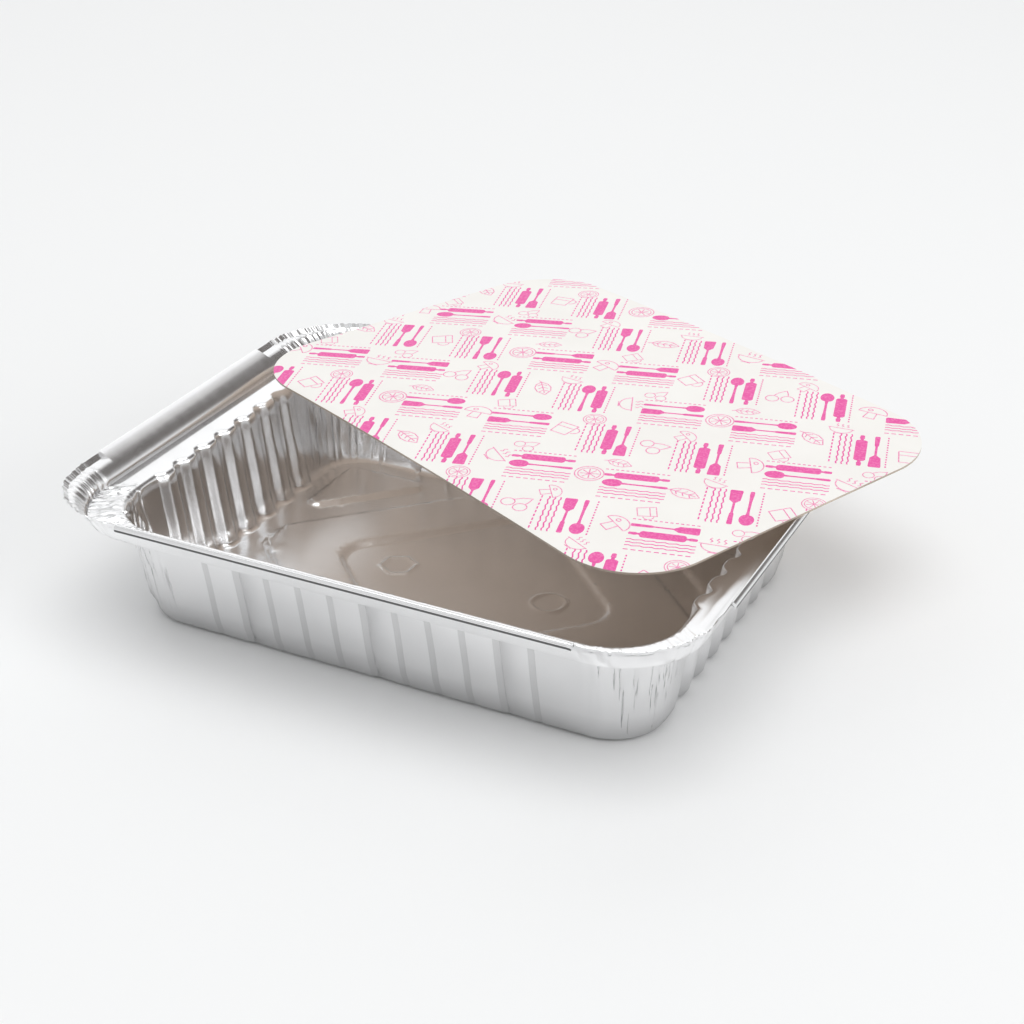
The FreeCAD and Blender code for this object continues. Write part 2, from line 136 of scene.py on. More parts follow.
# a row for each point round the tray: turn, side x and y, spot along a straight side,
# then angle into a corner and number of the corner, both -1 on a straight side
def trayStations():
    halfL, halfW, radius = tray["shelf"]
    longs = sideGrid(halfL - radius, tray["longRibs"], tray["hemEnd"][0])
    shorts = sideGrid(halfW - radius, tray["shortRibs"], tray["hemEnd"][1])
    angles = np.linspace(0, 90, tray["cornerSteps"])
    sides = ((-90, (0, -1), longs, (1, -1)), (0, (1, 0), shorts, (1, 1)),
             (90, (0, 1), -longs, (-1, 1)), (180, (-1, 0), -shorts, (-1, -1)))
    rows = []
    for number, (turn, side, spots, corner) in enumerate(sides):
        rows += [(turn, *side, spot, -1.0, -1) for spot in spots]
        rows += [(turn + angle, *corner, 0.0, angle, number) for angle in angles]
    return np.array(rows)


def outlinePoints(rows, outline):  # grooves keep their place, the plain end of a side stretches
    turn, sideX, sideY, spot, angle, _ = rows.T
    halfL, halfW, radius = outline
    rimL, rimW, rimRadius = tray["shelf"]
    longEnd, shortEnd = tray["ribEnd"]
    turn = np.radians(turn)
    x = sideX * (halfL - radius) + radius * np.cos(turn)
    y = sideY * (halfW - radius) + radius * np.sin(turn)

    def held(half, rimHalf, edge):
        size = np.abs(spot)
        end = edge + (size - edge) * (half - edge) / (rimHalf - edge)
        return np.sign(spot) * np.where(size > edge, end, size)

    straight = angle < 0
    x = np.where(straight & (sideX == 0), held(halfL - radius, rimL - rimRadius, longEnd), x)
    y = np.where(straight & (sideY == 0), held(halfW - radius, rimW - rimRadius, shortEnd), y)
    return np.stack([x, y], 1)


def ribDepths(rows):
    _, sideX, sideY, spot, angle, _ = rows.T
    depth = np.zeros(len(rows))
    for side, ribs, stepped in ((sideX, tray["longRibs"], True), (sideY, tray["shortRibs"], False)):
        mask = (angle < 0) & (side == 0)
        count, pitch, crest, foot, deep = ribs
        for number in range(count):
            away = spot - pitch * (number - (count - 1) / 2)
            if stepped:  # a ramp that ends in a step
                groove = np.clip((away + foot) / (1.8 * foot), 0, 1) * (1 - smooth(0.8 * foot, foot, away))
            else:
                groove = 1 - smooth(crest, foot, np.abs(away))
            depth = np.where(mask, np.maximum(depth, deep * groove), depth)
    return depth


def creaseList(number):  # folds of one corner: place, slant, half width, depth, lowest and highest reach
    rng = np.random.default_rng(40 + number)
    count = tray["creases"]
    folds = []
    for place in range(count):
        spot = tray["creaseArc"] * (place + 0.5 + rng.uniform(-0.38, 0.38)) / count
        slant, half, deep = rng.uniform(-0.4, 0.4), rng.uniform(0.3, 0.55), rng.uniform(0.3, 1.0)
        low, high = rng.choice([2.0, 10.0, 16.0, 20.0]), rng.choice([26.0, 32.0, 40.0])
        folds.append((spot, slant, half, deep, low, high))
    return folds


def creaseDepths(rows, z):  # narrow folds pushed inwards, running up the corners
    angle, corner = rows[:, 4], rows[:, 5]
    depth = np.zeros(len(rows))
    for number in range(4):
        here = corner == number
        along = np.radians(angle[here]) * tray["creaseRadius"]
        fade = smooth(0.0, 2.5, along) * smooth(0.0, 2.5, tray["creaseArc"] - along)
        total = np.zeros(len(along))
        for spot, slant, half, deep, low, high in creaseList(number):
            centre = spot + slant * (z - 24) + 0.7 * math.sin(z * 0.5 + spot * 2.1)  # leans and wanders
            window = smooth(low, low + 5, z) * (1 - smooth(high - 4, high, z))
            total = np.maximum(total, deep * window * np.clip(1 - np.abs(along - centre) / half, 0, 1))
        depth[here] = total * fade
    return depth


def onHem(rows):  # the straight stretches whose edge is rolled
    _, sideX, _, spot, angle, _ = rows.T
    hemHalf = np.where(sideX == 0, *tray["hemEnd"])
    return (angle < 0) & (np.abs(spot) <= hemHalf + 0.01)


def buildFoil():  # rings of points from the foot to the hem, and the edge of the base
    rows = trayStations()
    turn, sideX, _, spot, angle, _ = rows.T
    outward = np.stack([np.cos(np.radians(turn)), np.sin(np.radians(turn))], 1)
    footRadius, shoulderRadius = tray["footRadius"], tray["shoulderRadius"]
    shelfZ, rimZ = tray["shelfHeight"], tray["rimHeight"]
    sole = outlinePoints(rows, tuple(v - footRadius for v in tray["base"]))
    foot, mouth, shelf = (outlinePoints(rows, tray[name]) for name in ("base", "mouth", "shelf"))
    arc = np.concatenate([[0], np.cumsum(np.linalg.norm(np.diff(shelf, axis=0), axis=1))])
    rib = ribDepths(rows)
    halfL, halfW, radius = tray["shelf"]
    straightEnd = np.where(sideX == 0, halfL, halfW) - radius
    corner = np.where(angle >= 0, 1.0, 1 - smooth(0.0, 5.0, straightEnd - np.abs(spot)))
    hemmed = onHem(rows).astype(float)
    front, right, back, left = tray["lean"]
    lean = outward * np.stack([np.where(outward[:, 0] > 0, right, left),
                               np.where(outward[:, 1] > 0, back, front)], 1)
    leftness = np.clip(-outward[:, 0], 0, 1) ** 2  # 1 on the splayed left side
    loose = corner * np.where(outward[:, 0] < 0, *tray["crumpled"])
    topCrease = creaseDepths(rows, shelfZ)
    rings = []

    def ring(points, out, z, extra=0.0):
        placed = points + outward * np.reshape(out, (-1, 1)) + extra
        rings.append(np.column_stack([placed, np.broadcast_to(z, len(rows))]))

    def ripple(shift, pitch, seed):
        return crumple(arc + shift, pitch, seed)

    def pleat(share):  # folds of the flange round the corners
        fine, more, broad, gathered = tray["pleats"]
        fineFolds = (fine + more * (outward[:, 0] < 0)) * ripple(1.6 * share, 0.95, 37)
        broadFolds = broad * waves(arc + 1.4 * share, share * 3, 7.0, 15)
        return corner * (fineFolds + broadFolds - gathered * topCrease * share)

    for step in range(1, 5):  # foot
        share = step / 4
        bend = math.radians(90 * share)
        z = footRadius * (1 - math.cos(bend))
        dent = corner * share * 0.1 * ripple(0, 2.1, 11)
        out = -rib * (0.3 + 0.7 * share) - creaseDepths(rows, z) * share * 0.6 + dent
        ring(sole + (foot - sole) * math.sin(bend), out, z)
    wallTop = shelfZ - shoulderRadius
    for share in tray["wallShares"]:  # wall
        z = footRadius + (wallTop - footRadius) * share
        broad, middling, fine = tray["wallWaves"]
        soft = broad * waves(arc, z, 22.0, 71) + loose * middling * waves(arc, z, 7.0, 73)
        soft = soft + loose * fine * ripple(0.05 * z, 2.1, 11)
        ring(foot + (mouth - foot) * z / shelfZ, -rib - creaseDepths(rows, z) + soft, z)
    fadeTop = np.where(sideX == 0, 1.0, 0.0)  # long grooves end at the shoulder, short ones run on
    for step in range(1, 4):  # shoulder
        bend = math.radians(90 * step / 3)
        reach = shoulderRadius * (1 - math.cos(bend))
        z = wallTop + shoulderRadius * math.sin(bend)
        out = -rib * (1 - fadeTop * step / 3) - topCrease + reach + corner * 0.12 * ripple(0, 1.4, 13)
        ring(mouth, out, z)
    for share in tray["shelfShares"]:  # shelf, beaded along the straight sides, wrinkled round the corners
        fade = max(0.0, 1 - share / 0.5)
        bead = 0.4 * math.exp(-((share - tray["beadAt"]) / 0.1) ** 2) * (1 - corner)
        fine, broad = tray["shelfFolds"]
        folds = fine * ripple(0.8 * waves(arc, share * 8, 5.0, 9), 0.95, 51)
        folds = folds + broad * waves(arc, share * 9, 4.0, 57)
        wrinkle = loose * folds * (1.0 if share < 1 else 0.4)
        out = -rib * fade * (1 - fadeTop) - topCrease * fade
        ring(mouth + (shelf - mouth) * share, out, shelfZ + bead + wrinkle)
    slantLength = rimZ - shelfZ
    for share in tray["flangeShares"]:  # flange, hollow on the splayed left side
        z = shelfZ + (slantLength - leftness * tray["leftDrop"]) * (share + leftness * (share ** 0.85 - share))
        reach = share + leftness * (share ** 1.9 - share)
        ring(shelf, pleat(share), z, lean * reach[:, None])
    fine, broad, edgeDrop, edgeDepth = tray["cutEdge"]
    edge = corner * (fine * ripple(0, 0.7, 61) + broad * ripple(0, 2.3, 63))
    top = rimZ - leftness * tray["leftDrop"]
    fold = pleat(0.95)
    run = np.linalg.norm(lean, axis=1) * (1 + 0.9 * leftness)
    rise = slantLength * (1 - 0.25 * leftness)
    run, rise = run / np.hypot(run, rise), rise / np.hypot(run, rise)
    slim = 1 - 0.65 * leftness
    roll = tray["hemRoll"]
    for number, (out, drop) in enumerate(roll):  # a roll on the straight sides, a plain cut edge elsewhere
        tip = number / (len(roll) - 1)
        cut = top - edgeDrop + edge - edgeDepth * (1 - tip)
        z = hemmed * (top + drop * rise - out * slim * run) + (1 - hemmed) * cut
        reach = hemmed + (1 - hemmed) * (0.8 + 0.2 * tip)
        ring(shelf, hemmed * (out * slim * rise + drop * run) + fold, z, lean * reach[:, None])
    return rows, np.array(rings), sole - outward * (0.3 * rib)[:, None]


def roundedPolygon(corners, radius, steps=7):  # each corner's arc has this many steps
    points = []
    count = len(corners)
    for number in range(count):
        here = np.array(corners[number], float)
        before = np.array(corners[number - 1]) - here
        after = np.array(corners[(number + 1) % count]) - here
        before /= np.linalg.norm(before)
        after /= np.linalg.norm(after)
        half = math.acos(np.clip(before @ after, -1, 1)) / 2
        middle = (before + after) / np.linalg.norm(before + after)
        centre = here + middle * radius / math.sin(half)
        first = here + before * radius / math.tan(half) - centre
        last = here + after * radius / math.tan(half) - centre
        for step in range(steps + 1):
            share = step / steps
            arm = first * (1 - share) + last * share
            points.append(centre + arm / np.linalg.norm(arm) * radius)
    return np.array(points)


def signedDistance(points, polygon):  # inside is positive
    best = np.full(len(points), 1e9)
    inside = np.zeros(len(points), bool)
    for a, b in zip(polygon, np.roll(polygon, -1, axis=0)):
        edge = b - a
        share = np.clip(((points - a) @ edge) / (edge @ edge), 0, 1)
        best = np.minimum(best, np.linalg.norm(points - a - share[:, None] * edge, axis=1))
        crosses = ((a[1] > points[:, 1]) != (b[1] > points[:, 1])) & (
            points[:, 0] < (b[0] - a[0]) * (points[:, 1] - a[1]) / (b[1] - a[1] + 1e-12) + a[0])
        inside ^= crosses
    return np.where(inside, best, -best)


# forms pressed into the base, in millimetres: half sizes and slant, corner radius, rise, slope width
pressing = {
    "octagon": ((67.0, 48.0, 25.0, 6.0), 4.0, 1.2, 1.8),
    "diamond": ((46.0, 46.0), 9.0, 1.1, 2.0),
    "triangle": ((69.0, 49.0), 3.5, 1.1, 1.7),
    "triangleGap": 11.45,
    "markAt": 24.0, "markRadius": 4.9, "markRise": 0.42, "markHalf": 0.52,   # a ring and a hexagon
    "waviness": 0.05,
    "bump": ((-62.0, -9.0), (2.2, 1.6), 0.5),              # place, half sizes and height
    "slopeOffsets": (-0.6, 0.0, 0.6, 1.2, 1.8, 2.6),       # lines of points along each form's edge
    "slopeStep": 2.2,
    "gridReach": (75, 55), "gridStep": 2.3, "gridShift": 0.3,
    "markRings": (3.4, 6.8, 0.45),                         # first, last and step of the rings of points
    "cell": 0.55,                                          # one point to a cell of this size
    "borderGap": 0.9, "borderFade": 4.0,
}


def pressedForms():  # outline, rise and slope width of each form
    (halfL, halfW, near, far), radius, rise, slope = pressing["octagon"]
    octagon = [(near, -halfW), (halfL, -far), (halfL, far), (near, halfW),
               (-near, halfW), (-halfL, far), (-halfL, -far), (-near, -halfW)]
    forms = [(roundedPolygon(octagon, radius), rise, slope)]
    (dx, dy), radius, rise, slope = pressing["diamond"]
    forms.append((roundedPolygon([(0, -dy), (dx, 0), (0, dy), (-dx, 0)], radius), -rise, slope))
    (tx, ty), radius, rise, slope = pressing["triangle"]
    reach = near + halfW + pressing["triangleGap"]
    for sx in (-1, 1):
        for sy in (-1, 1):
            corners = [(sx * (reach - ty), sy * ty), (sx * tx, sy * ty), (sx * tx, sy * (reach - tx))]
            forms.append((roundedPolygon(corners, radius), rise, slope))
    return forms


def baseHeight(points, forms):
    z = np.zeros(len(points))
    for polygon, rise, slope in forms:
        z += rise * smooth(-0.15 * slope, 0.85 * slope, signedDistance(points, polygon))
    for side in (1, -1):  # the ring on the right, the hexagon on the left
        away = points - np.array([side * pressing["markAt"], 0.0])
        distance = np.linalg.norm(away, axis=1)
        if side == -1:
            wedge = (np.arctan2(away[:, 1], away[:, 0]) + math.pi / 6) % (math.pi / 3) - math.pi / 6
            distance = distance * np.cos(wedge) / math.cos(math.pi / 6) * 0.93
        z += pressing["markRise"] * np.exp(-((distance - pressing["markRadius"]) / pressing["markHalf"]) ** 2)
    z += pressing["waviness"] * (1 + waves(points[:, 0], points[:, 1], 40.0, 81))
    (bumpX, bumpY), (halfX, halfY), height = pressing["bump"]
    z += height * np.exp(-(((points[:, 0] - bumpX) / halfX) ** 2 + ((points[:, 1] - bumpY) / halfY) ** 2))
    return z


def basePoints(sole, forms):  # close together along the slopes and at the marks
    inner = []
    for polygon, _, _ in forms:
        for offset in pressing["slopeOffsets"]:
            for here, after in zip(polygon, np.roll(polygon, -1, axis=0)):
                side = after - here
                steps = max(1, int(np.linalg.norm(side) / pressing["slopeStep"]))
                normal = np.array([-side[1], side[0]])
                normal /= np.linalg.norm(normal) + 1e-9
                inner += [here + side * step / steps + normal * offset for step in range(steps)]
    rng = np.random.default_rng(3)
    (reachX, reachY), gap, shift = pressing["gridReach"], pressing["gridStep"], pressing["gridShift"]
    for x in np.arange(-reachX, reachX + 0.1, gap):
        for y in np.arange(-reachY, reachY + 0.1, gap):
            inner.append(np.array([x, y]) + rng.uniform(-shift, shift, 2))
    first, last, step = pressing["markRings"]
    for side in (1, -1):
        for radius in np.arange(first, last, step):
            for turn in np.linspace(0, 2 * math.pi, int(radius * 8), endpoint=False):
                x = side * pressing["markAt"] + radius * math.cos(turn)
                inner.append(np.array([x, radius * math.sin(turn)]))
    inner = np.array(inner)
    inner = inner[signedDistance(inner, sole[::3]) > pressing["borderGap"]]
    cells = np.round(inner / pressing["cell"]).astype(int)
    _, kept = np.unique(cells, axis=0, return_index=True)
    return inner[np.sort(kept)]


def buildBase(sole):  # its first vertices are the edge that the walls start from
    forms = pressedForms()
    points = np.vstack([sole, basePoints(sole, forms)])
    count = len(sole)
    edges = [(i, (i + 1) % count) for i in range(count)]
    found = geometry.delaunay_2d_cdt([Vector(p) for p in points], edges, [], 1, 1e-5)
    flat = np.array([(v.x, v.y) for v in found[0]])
    edgeFade = smooth(0.0, pressing["borderFade"], signedDistance(flat, sole[::3]))
    z = np.maximum(baseHeight(flat, forms) * edgeFade, 0) + tray["foil"]
    return [tuple(v) for v in np.column_stack([flat, z])], [list(f) for f in found[2]]


def addPiece(name, mesh, slots):  # its finishes come later
    for _ in slots:
        mesh.materials.append(None)
    piece = bpy.data.objects.new(name, mesh)
    bpy.context.scene.collection.objects.link(piece)
    return piece


def giveThickness(piece, thickness, slotStep):  # the sheet grows away from its upper or inner face
    bpy.ops.object.select_all(action="DESELECT")
    piece.select_set(True)
    bpy.context.view_layer.objects.active = piece
    sheet = piece.modifiers.new("sheet", "SOLIDIFY")
    sheet.thickness = thickness * mm
    sheet.offset = -1
    sheet.material_offset = slotStep
    sheet.material_offset_rim = slotStep
    bpy.ops.object.modifier_apply(modifier="sheet")


def buildTray():
    rows, rings, sole = buildFoil()
    vertices, faces = buildBase(sole)
    slot = tray["finishes"].index
    hemmed = onHem(rows) & (rows[:, 1] >= 0)  # the splayed left hem gets no painted shadow line under its roll
    hemShadowFaces = []
    total = len(vertices)
    levels, around = rings.shape[:2]
    # the two rings of faces just under the hem's roll, which get a painted shadow
    hemShadowLevels = (levels - 5, levels - 4)
    rings[:, :, 2] = np.maximum(rings[:, :, 2], tray["foil"])  # nothing goes below the floor
    vertices += [tuple(v) for v in rings.reshape(-1, 3)]
    for i in range(around):
        j = (i + 1) % around
        faces.append([i, j, total + j, total + i])
        for level in range(levels - 1):
            low = total + level * around
            high = low + around
            if level in hemShadowLevels and hemmed[i] and hemmed[j]:
                hemShadowFaces.append(len(faces))
            faces.append([low + i, low + j, high + j, high + i])
    mesh = bpy.data.meshes.new("foilTray")
    mesh.from_pydata([Vector(v) * mm for v in vertices], [], faces)
    piece = addPiece("foilTray", mesh, tray["finishes"])
    # paint the shadow under the hem's roll onto these faces
    for number in hemShadowFaces:
        mesh.polygons[number].material_index = slot("paintedHemShadowFoil")
    work = bmesh.new()
    work.from_mesh(mesh)
    bmesh.ops.remove_doubles(work, verts=work.verts, dist=1e-6)
    bmesh.ops.recalc_face_normals(work, faces=work.faces)
    work.to_mesh(mesh)
    work.free()
    if sum(p.normal.z for p in mesh.polygons if p.center.length < 0.03) < 0:  # the base looks up
        mesh.flip_normals()
    giveThickness(piece, tray["foil"], 1)
    count, pitch, _, foot, _ = tray["longRibs"]
    middle, lowest, highest = tray["paintedGrooveShadeZone"]
    for polygon in mesh.polygons:  # painted shade goes on the outside of the long grooves
        polygon.use_smooth = True
        x, y, z = polygon.center / mm
        number = round(x / pitch + (count - 1) / 2)
        away = abs(x - pitch * (number - (count - 1) / 2))
        inZone = abs(y) > middle and lowest < z < highest and 0 <= number < count and away < foot
        if polygon.material_index == slot("outerFoil") and inZone:
            polygon.material_index = slot("paintedGrooveShadeFoil")
    bpy.ops.object.shade_smooth_by_angle(angle=math.radians(tray["smoothAngle"]))
    return piece


foilTray = buildTray()
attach(foilTray, "root")
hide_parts("tray")
print("tray made,", len(foilTray.data.polygons), "faces")


# card lid, in millimetres: a flat card with its print, bowed down lengthways and leaning on the rim
lid = {
    "size": (175.2, 122.5), "corner": 23.6, "thickness": 0.6,
    "centre": (13.05, 46.15), "turn": -24.8, "tilt": 1.09,
    "bendRadius": 2268.0, "bendTurn": -16.8,
    "edgeStep": 6,                                  # short steps, so that straight sides can bow
    "margins": (12, 8),                             # groups and faces farther out than this are left out
    "gridReach": (80, 60), "gridStep": 8.0,         # points that let the face bow
    "motifPitch": (24.5, 24.5), "motifTurns": (-52, 38), "toolLength": 18.0,
    "toolRows": (4.6, 0.4), "waveRows": (3, 1.5, -5.6), "dashRows": ((-7.6, 1.3, 0.7), (7.6, 0.8, 0.6)),
    "doodleAt": ((11.75, 7.49), (12.75, -6.8)), "doodleScale": 0.82,
    "fineLine": 0.42, "doodleLine": 0.36,
    "finishes": ("cardFace", "pinkInk", "paleInk", "cardEdge", "cardBack"),
}


def profileShape(length, halfWidths):  # a solid silhouette, symmetric about its long axis
    xs = np.array([p[0] for p in halfWidths]) * length - length / 2
    top = list(zip(xs, [p[1] for p in halfWidths]))
    bottom = [(x, -w) for x, w in reversed(top) if w > 1e-4]
    return [np.array(top + bottom)]


def pinShape(length):
    ends = [(0.0, 0.25), (0.01, 0.6), (0.1, 0.72), (0.13, 0.45), (0.16, 0.5), (0.17, 1.2), (0.2, 1.62)]
    return profileShape(length, ends + [(1 - x, w) for x, w in reversed(ends)])


def spoonShape(length):
    points = [(0.0, 0.35), (0.02, 0.6), (0.1, 0.62), (0.3, 0.4), (0.6, 0.36), (0.68, 0.5)]
    for step in range(9):
        turn = math.pi * step / 8
        points.append((0.84 - 0.15 * math.cos(turn), 0.5 * (1 - step / 8) + 1.75 * math.sin(turn) + 0.02))
    return profileShape(length, points)


def spatulaShape(length):
    return profileShape(length, [(0.0, 0.5), (0.02, 0.75), (0.3, 0.6), (0.34, 0.34), (0.62, 0.34),
                                 (0.66, 0.9), (0.7, 1.5), (0.97, 1.75), (1.0, 1.5)])


def strip(path, width, closed=False):  # a drawn line as a row of four-sided faces
    path = np.array(path, float)
    count = len(path)
    sides = []
    for number in range(count):
        following = (number + 1) % count
        before = path[number] - path[number - 1] if number or closed else path[1] - path[0]
        after = path[following] - path[number] if following or closed else path[-1] - path[-2]
        before = before / (np.linalg.norm(before) + 1e-9)
        after = after / (np.linalg.norm(after) + 1e-9)
        normal = np.array([-(before + after)[1], (before + after)[0]])
        normal /= np.linalg.norm(normal) + 1e-9
        reach = width / 2 / max(0.5, abs(normal @ np.array([-before[1], before[0]])))
        sides.append((path[number] + normal * reach, path[number] - normal * reach))
    faces = []
    for number in range(count if closed else count - 1):
        a, b = sides[number]
        c, d = sides[(number + 1) % count]
        faces.append(np.array([a, c, d, b]))
    return faces


def arcPath(cx, cy, rx, ry, start, end, steps):
    turns = np.radians(np.linspace(start, end, steps + 1))
    return np.stack([cx + rx * np.cos(turns), cy + ry * np.sin(turns)], 1)


def wavyLines(length, rows, gap, width):
    faces = []
    for row in range(rows):
        xs = np.linspace(-length / 2, length / 2, 19)
        ys = row * gap + 0.22 * np.sin(np.arange(19) * math.pi / 1.5)
        faces += strip(np.stack([xs, ys], 1), width)
    return faces


def dashLine(length, y, width, dash, gap):
    faces = []
    x = -length / 2
    while x < length / 2 - dash:
        faces += strip([(x, y), (x + dash, y)], width)
        x += dash + gap
    return faces


def bowlDoodle(w):
    faces = strip(arcPath(0, 0.6, 4.0, 3.6, 180, 360, 12), w) + strip([(-4.6, 0.6), (4.6, 0.6)], w)
    faces += strip([(-1.6, -3.3), (1.6, -3.3)], w)
    for x in (-1.8, 0.0, 1.8):
        faces += strip([(x, 1.6), (x + 0.5, 2.3), (x - 0.3, 3.1), (x + 0.2, 3.9)], w)
    return faces


def leafDoodle(w):
    upper = [(-4.4, 0), (-2.8, 1.7), (-0.6, 2.4), (1.8, 2.0), (4.4, 0)]
    lower = [(x, -y) for x, y in upper]
    faces = strip(upper, w) + strip(lower, w) + strip([(-5.6, -0.5), (-4.4, 0), (3.2, 0)], w)
    for x in (-2.0, 0.0, 2.0):
        faces += strip([(x - 0.8, 0), (x + 0.2, 1.4)], w) + strip([(x - 0.8, 0), (x + 0.2, -1.4)], w)
    return faces


def sliceDoodle(w):
    faces = strip(arcPath(0, 0, 4.0, 4.0, 0, 345, 22), w, True)
    faces += strip(arcPath(0, 0, 3.1, 3.1, 0, 340, 18), w, True)
    for turn in range(0, 180, 45):
        c, s = math.cos(math.radians(turn + 12)), math.sin(math.radians(turn + 12))
        faces += strip([(-2.6 * c, -2.6 * s), (2.6 * c, 2.6 * s)], w)
    return faces


def mugDoodle(w):
    faces = strip([(-3.2, 3.0), (-2.8, -3.2), (2.2, -3.2), (2.6, 3.0), (-3.2, 3.0)], w)
    faces += strip(arcPath(2.5, 0.2, 2.0, 1.8, -80, 85, 8), w) + strip([(-2.9, 0.9), (2.4, 0.9)], w)
    return faces


def mushroomDoodle(w):
    faces = strip(arcPath(0, 0, 4.2, 3.6, 0, 180, 12), w) + strip([(-4.2, 0), (4.2, 0)], w)
    faces += strip([(-1.3, 0), (-1.6, -3.6), (1.6, -3.6), (1.3, 0)], w)
    return faces + strip(arcPath(-1.2, 1.6, 0.7, 0.6, 0, 330, 8), w, True)


def cherryDoodle(w):
    faces = strip(arcPath(-2.1, -2.0, 1.9, 1.9, 0, 340, 14), w, True)
    faces += strip(arcPath(2.3, -1.5, 1.9, 1.9, 0, 340, 14), w, True)
    return faces + strip([(-1.9, 0.0), (-0.8, 2.2), (1.2, 3.9), (1.9, 2.0), (2.2, 0.4)], w)


def placed(faces, x, y, turn):
    c, s = math.cos(math.radians(turn)), math.sin(math.radians(turn))
    return [np.array(f) @ np.array([[c, s], [-s, c]]) + np.array([x, y]) for f in faces]


tools = (pinShape, spoonShape, spatulaShape)
doodles = (bowlDoodle, leafDoodle, sliceDoodle, mugDoodle, mushroomDoodle, cherryDoodle)


def printFaces():  # slanted groups in a half drop, small drawings between them
    strong, pale = [], []
    pitchX, pitchY = lid["motifPitch"]
    length, fine, thin = lid["toolLength"], lid["fineLine"], lid["doodleLine"]
    upperRow, lowerRow = lid["toolRows"]
    waveCount, waveGap, waveRow = lid["waveRows"]
    (firstX, firstY), (otherX, otherY) = lid["doodleAt"]
    margin = lid["margins"][0]
    for column in range(-4, 5):
        for row in range(-4, 5):
            x = column * pitchX
            y = row * pitchY + (column % 2) * pitchY / 2
            if abs(x) > lid["size"][0] / 2 + margin or abs(y) > lid["size"][1] / 2 + margin:
                continue
            pick = column + 2 * row
            group = placed(tools[pick % 3](length), 0, upperRow, 0)
            group += placed(tools[(pick + 1) % 3](length), 0, lowerRow, 180)
            group += placed(wavyLines(length, waveCount, waveGap, fine), 0, waveRow, 0)
            for dashRow, dash, gap in lid["dashRows"]:
                group += dashLine(length, dashRow, fine, dash, gap)
            strong += placed(group, x, y, lid["motifTurns"][(column + row) % 2])
            pick = 2 * column + 3 * row  # drawings and their turns vary from group to group
            drawing = doodles[pick % 6](thin)
            pale += placed(drawing, x + firstX, y + firstY, (column * 47 + row * 31) % 90 - 45)
            drawing = [f * lid["doodleScale"] for f in doodles[(pick + 2) % 6](thin)]
            pale += placed(drawing, x + otherX, y + otherY, (column * 29 + row * 53) % 90 - 45)
    return strong, pale


def archedCard(flat):  # bowed, tilted, turned and moved to its place
    bow, tilt, spin = (math.radians(lid[name]) for name in ("bendTurn", "tilt", "turn"))
    along = flat[:, 0] * math.cos(bow) + flat[:, 1] * math.sin(bow)
    low = np.sqrt(lid["bendRadius"] ** 2 - along ** 2) - lid["bendRadius"]
    across = flat[:, 1] * math.cos(tilt) - low * math.sin(tilt)
    z = flat[:, 1] * math.sin(tilt) + low * math.cos(tilt)
    x = flat[:, 0] * math.cos(spin) - across * math.sin(spin) + lid["centre"][0]
    y = flat[:, 0] * math.sin(spin) + across * math.cos(spin) + lid["centre"][1]
    return np.column_stack([x, y, z])


def buildLid():
    slot = lid["finishes"].index
    halfL, halfW = lid["size"][0] / 2, lid["size"][1] / 2
    sides = [(halfL, -halfW), (halfL, halfW), (-halfL, halfW), (-halfL, -halfW)]
    outline = roundedPolygon(sides, lid["corner"], 24)
    border = []
    for here, after in zip(outline, np.roll(outline, -1, axis=0)):
        count = max(1, int(np.linalg.norm(after - here) / lid["edgeStep"]))
        border += [here + (after - here) * step / count for step in range(count)]
    border = np.array(border)
    strong, pale = printFaces()
    points = [tuple(p) for p in border]
    faces = [list(range(len(border)))]
    slots = {0: slot("cardFace")}  # a slot for each outline that is laid in
    margin = lid["margins"][1]
    for inkSlot, group in ((slot("pinkInk"), strong), (slot("paleInk"), pale)):
        for face in group:
            if np.abs(face[:, 0]).max() > halfL + margin or np.abs(face[:, 1]).max() > halfW + margin:
                continue
            area = 0.5 * np.sum(face[:, 0] * np.roll(face[:, 1], -1) - np.roll(face[:, 0], -1) * face[:, 1])
            if abs(area) < 1e-5:
                continue
            if area < 0:
                face = face[::-1]
            slots[len(faces)] = inkSlot
            faces.append(list(range(len(points), len(points) + len(face))))
            points += [tuple(p) for p in face]
    (reachX, reachY), gap = lid["gridReach"], lid["gridStep"]
    for x in np.arange(-reachX, reachX + 1, gap):
        for y in np.arange(-reachY, reachY + 1, gap):
            points.append((x, y))
    found = geometry.delaunay_2d_cdt([Vector(p) for p in points], [], faces, 0, 1e-4)
    shaped = archedCard(np.array([(v.x, v.y) for v in found[0]]))
    shaped[:, 2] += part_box("lid")[1].z / mm - archedCard(border)[:, 2].max()
    work = bmesh.new()
    corners = [work.verts.new(v) for v in shaped]
    for face, origins in zip(found[2], found[5]):
        if 0 in origins:  # within the card's own outline
            made = work.faces.new([corners[i] for i in face])
            made.material_index = max(slots[o] for o in origins)
    bmesh.ops.delete(work, geom=[v for v in work.verts if not v.link_faces], context="VERTS")
    bmesh.ops.recalc_face_normals(work, faces=work.faces)
    if sum(f.normal.z for f in work.faces) < 0:
        bmesh.ops.reverse_faces(work, faces=work.faces)
    work.transform(Matrix.Scale(mm, 4))
    mesh = bpy.data.meshes.new("cardLid")
    work.to_mesh(mesh)
    work.free()
    piece = addPiece("cardLid", mesh, lid["finishes"])
    giveThickness(piece, lid["thickness"], 0)
    for polygon in mesh.polygons:
        if polygon.normal.z < -0.5:
            polygon.material_index = slot("cardBack")
        elif polygon.normal.z < 0.5:
            polygon.material_index = slot("cardEdge")
    return piece


cardLid = buildLid()
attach(cardLid, "root")
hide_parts("lid")
print("lid made,", len(cardLid.data.polygons), "faces")


def newMaterial(name):
    material = bpy.data.materials.new(name)
    material.use_nodes = True
    tree = material.node_tree
    return material, tree, tree.nodes["Principled BSDF"]


